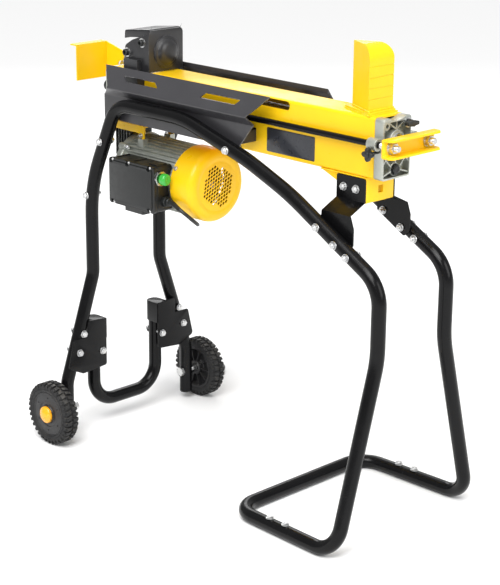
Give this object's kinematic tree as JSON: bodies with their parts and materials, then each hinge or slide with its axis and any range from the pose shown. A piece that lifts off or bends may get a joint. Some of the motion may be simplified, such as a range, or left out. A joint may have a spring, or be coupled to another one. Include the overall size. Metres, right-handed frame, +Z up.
{
  "type": "log splitter",
  "caption": "Electric hydraulic log splitter on a wheeled tube stand: fixed wedge, pusher drawn along the beam by a yoke and side rods, motor with pump, switch box and lead.",
  "frame": {"origin": "on the floor, under the middle of the machine's bounding box without the mains lead", "axes": "+Z up, +X along the beam from the pump end to the wedge, +Y towards the lever side"},
  "size_m": [1.0412, 0.6626, 0.989],
  "materials": {
    "yellow_paint": "satin",
    "grey_paint": "satin",
    "black_paint": "gloss",
    "ram_paint": "satin",
    "cast_aluminium": "rough cast",
    "zinc_steel": "zinc plated",
    "chrome_rod": "polished",
    "machined_steel": "machined",
    "black_plastic": "moulded",
    "tyre_rubber": "moulded",
    "rim_plastic": "moulded",
    "hub_plastic": "moulded",
    "green_plastic": "moulded",
    "winding_copper": "enamelled wire",
    "cord_rubber": "smooth"
  },
  "bodies": {
    "frame": {"side_tube_left": "black_paint", "side_tube_right": "black_paint", "front_legs": "black_paint", "floor_frame": "black_paint", "tube_sleeves": "machined_steel", "rear_hoop": "black_paint", "hoop_plates": "black_paint", "front_brackets": "black_paint", "stand_fasteners": "zinc_steel", "axles": "zinc_steel", "beam_shell": "yellow_paint", "beam_foot": "yellow_paint", "wedge": "yellow_paint", "log_guards": "grey_paint", "cylinder_tube": "machined_steel", "end_cover": "cast_aluminium", "rod_gland": "chrome_rod", "drain_plug": "black_plastic", "rear_block": "cast_aluminium", "spool_cap": "black_plastic", "lever_guard": "yellow_paint", "motor_bracket": "yellow_paint", "motor_frame": "cast_aluminium", "stator": "winding_copper", "fan_cover": "yellow_paint", "pump_housing": "cast_aluminium", "switch_box": "black_plastic", "switch_lid": "black_plastic", "button_bezel": "chrome_rod", "capacitor": "black_plastic", "cable_gland": "black_plastic", "power_cord": "cord_rubber", "cord_coil": "cord_rubber", "power_plug": "cord_rubber"},
    "ram": {"piston": "machined_steel", "piston_rod": "chrome_rod", "yoke": "yellow_paint", "side_rods": "black_paint", "yoke_nuts": "zinc_steel", "pusher_shell": "ram_paint", "pusher_bolts": "black_plastic", "ram_arms": "ram_paint", "slide_pads": "black_plastic"},
    "wheel_left": {"tyre_left": "tyre_rubber", "rim_left": "rim_plastic", "hub_cap_left": "hub_plastic"},
    "wheel_right": {"tyre_right": "tyre_rubber", "rim_right": "rim_plastic", "hub_cap_right": "hub_plastic"},
    "lever": {"lever_arm": "zinc_steel", "lever_grip": "black_plastic", "lever_pin": "zinc_steel", "valve_spool": "machined_steel"},
    "button": {"start_button": "green_plastic"},
    "rotor_group": {"rotor": "machined_steel", "fan": "black_plastic", "drive_gear": "machined_steel"},
    "idler_gear": {"driven_gear": "machined_steel"},
    "bleed": {"bleed_screw": "black_plastic"},
    "dip": {"dipstick": "black_plastic"}
  },
  "joints": [
    {"name": "ram_stroke", "type": "slide", "parent": "frame", "child": "ram", "axis": [1, 0, 0], "range_m": [0, 0.375]},
    {"name": "wheel_left_spin", "type": "hinge", "parent": "frame", "child": "wheel_left", "pos_m": [-0.3691, -0.229, 0.0731], "axis": [0, 1, 0], "continuous": true},
    {"name": "wheel_right_spin", "type": "hinge", "parent": "frame", "child": "wheel_right", "pos_m": [-0.3691, 0.229, 0.0731], "axis": [0, 1, 0], "continuous": true},
    {"name": "lever_swing", "type": "hinge", "parent": "frame", "child": "lever", "pos_m": [-0.367, 0.057, 0.775], "axis": [0, 1, 0], "range_deg": [-24, 0], "stiffness_Nm_per_rad": 3, "springref_deg": 8.59},
    {"name": "button_press", "type": "slide", "parent": "frame", "child": "button", "axis": [-1, 0, 0], "range_m": [0, 0.004], "stiffness_N_per_m": 600, "springref_m": -0.002},
    {"name": "motor_spin", "type": "hinge", "parent": "frame", "child": "rotor_group", "pos_m": [-0.2, 0, 0.6253], "axis": [1, 0, 0], "continuous": true},
    {"name": "idler_spin", "type": "hinge", "parent": "frame", "child": "idler_gear", "pos_m": [-0.336, 0, 0.5913], "axis": [1, 0, 0], "continuous": true},
    {"name": "bleed_turn", "type": "hinge", "parent": "frame", "child": "bleed", "pos_m": [0.43, -0.07, 0.79], "axis": [0, 1, 0], "range_deg": [-360, 0]},
    {"name": "dipstick_pull", "type": "slide", "parent": "frame", "child": "dip", "axis": [1, 0, 0], "range_m": [0, 0.15]}
  ],
  "couplings": [
    {"joint": "idler_spin", "follows": "motor_spin", "ratio": -1}
  ]
}
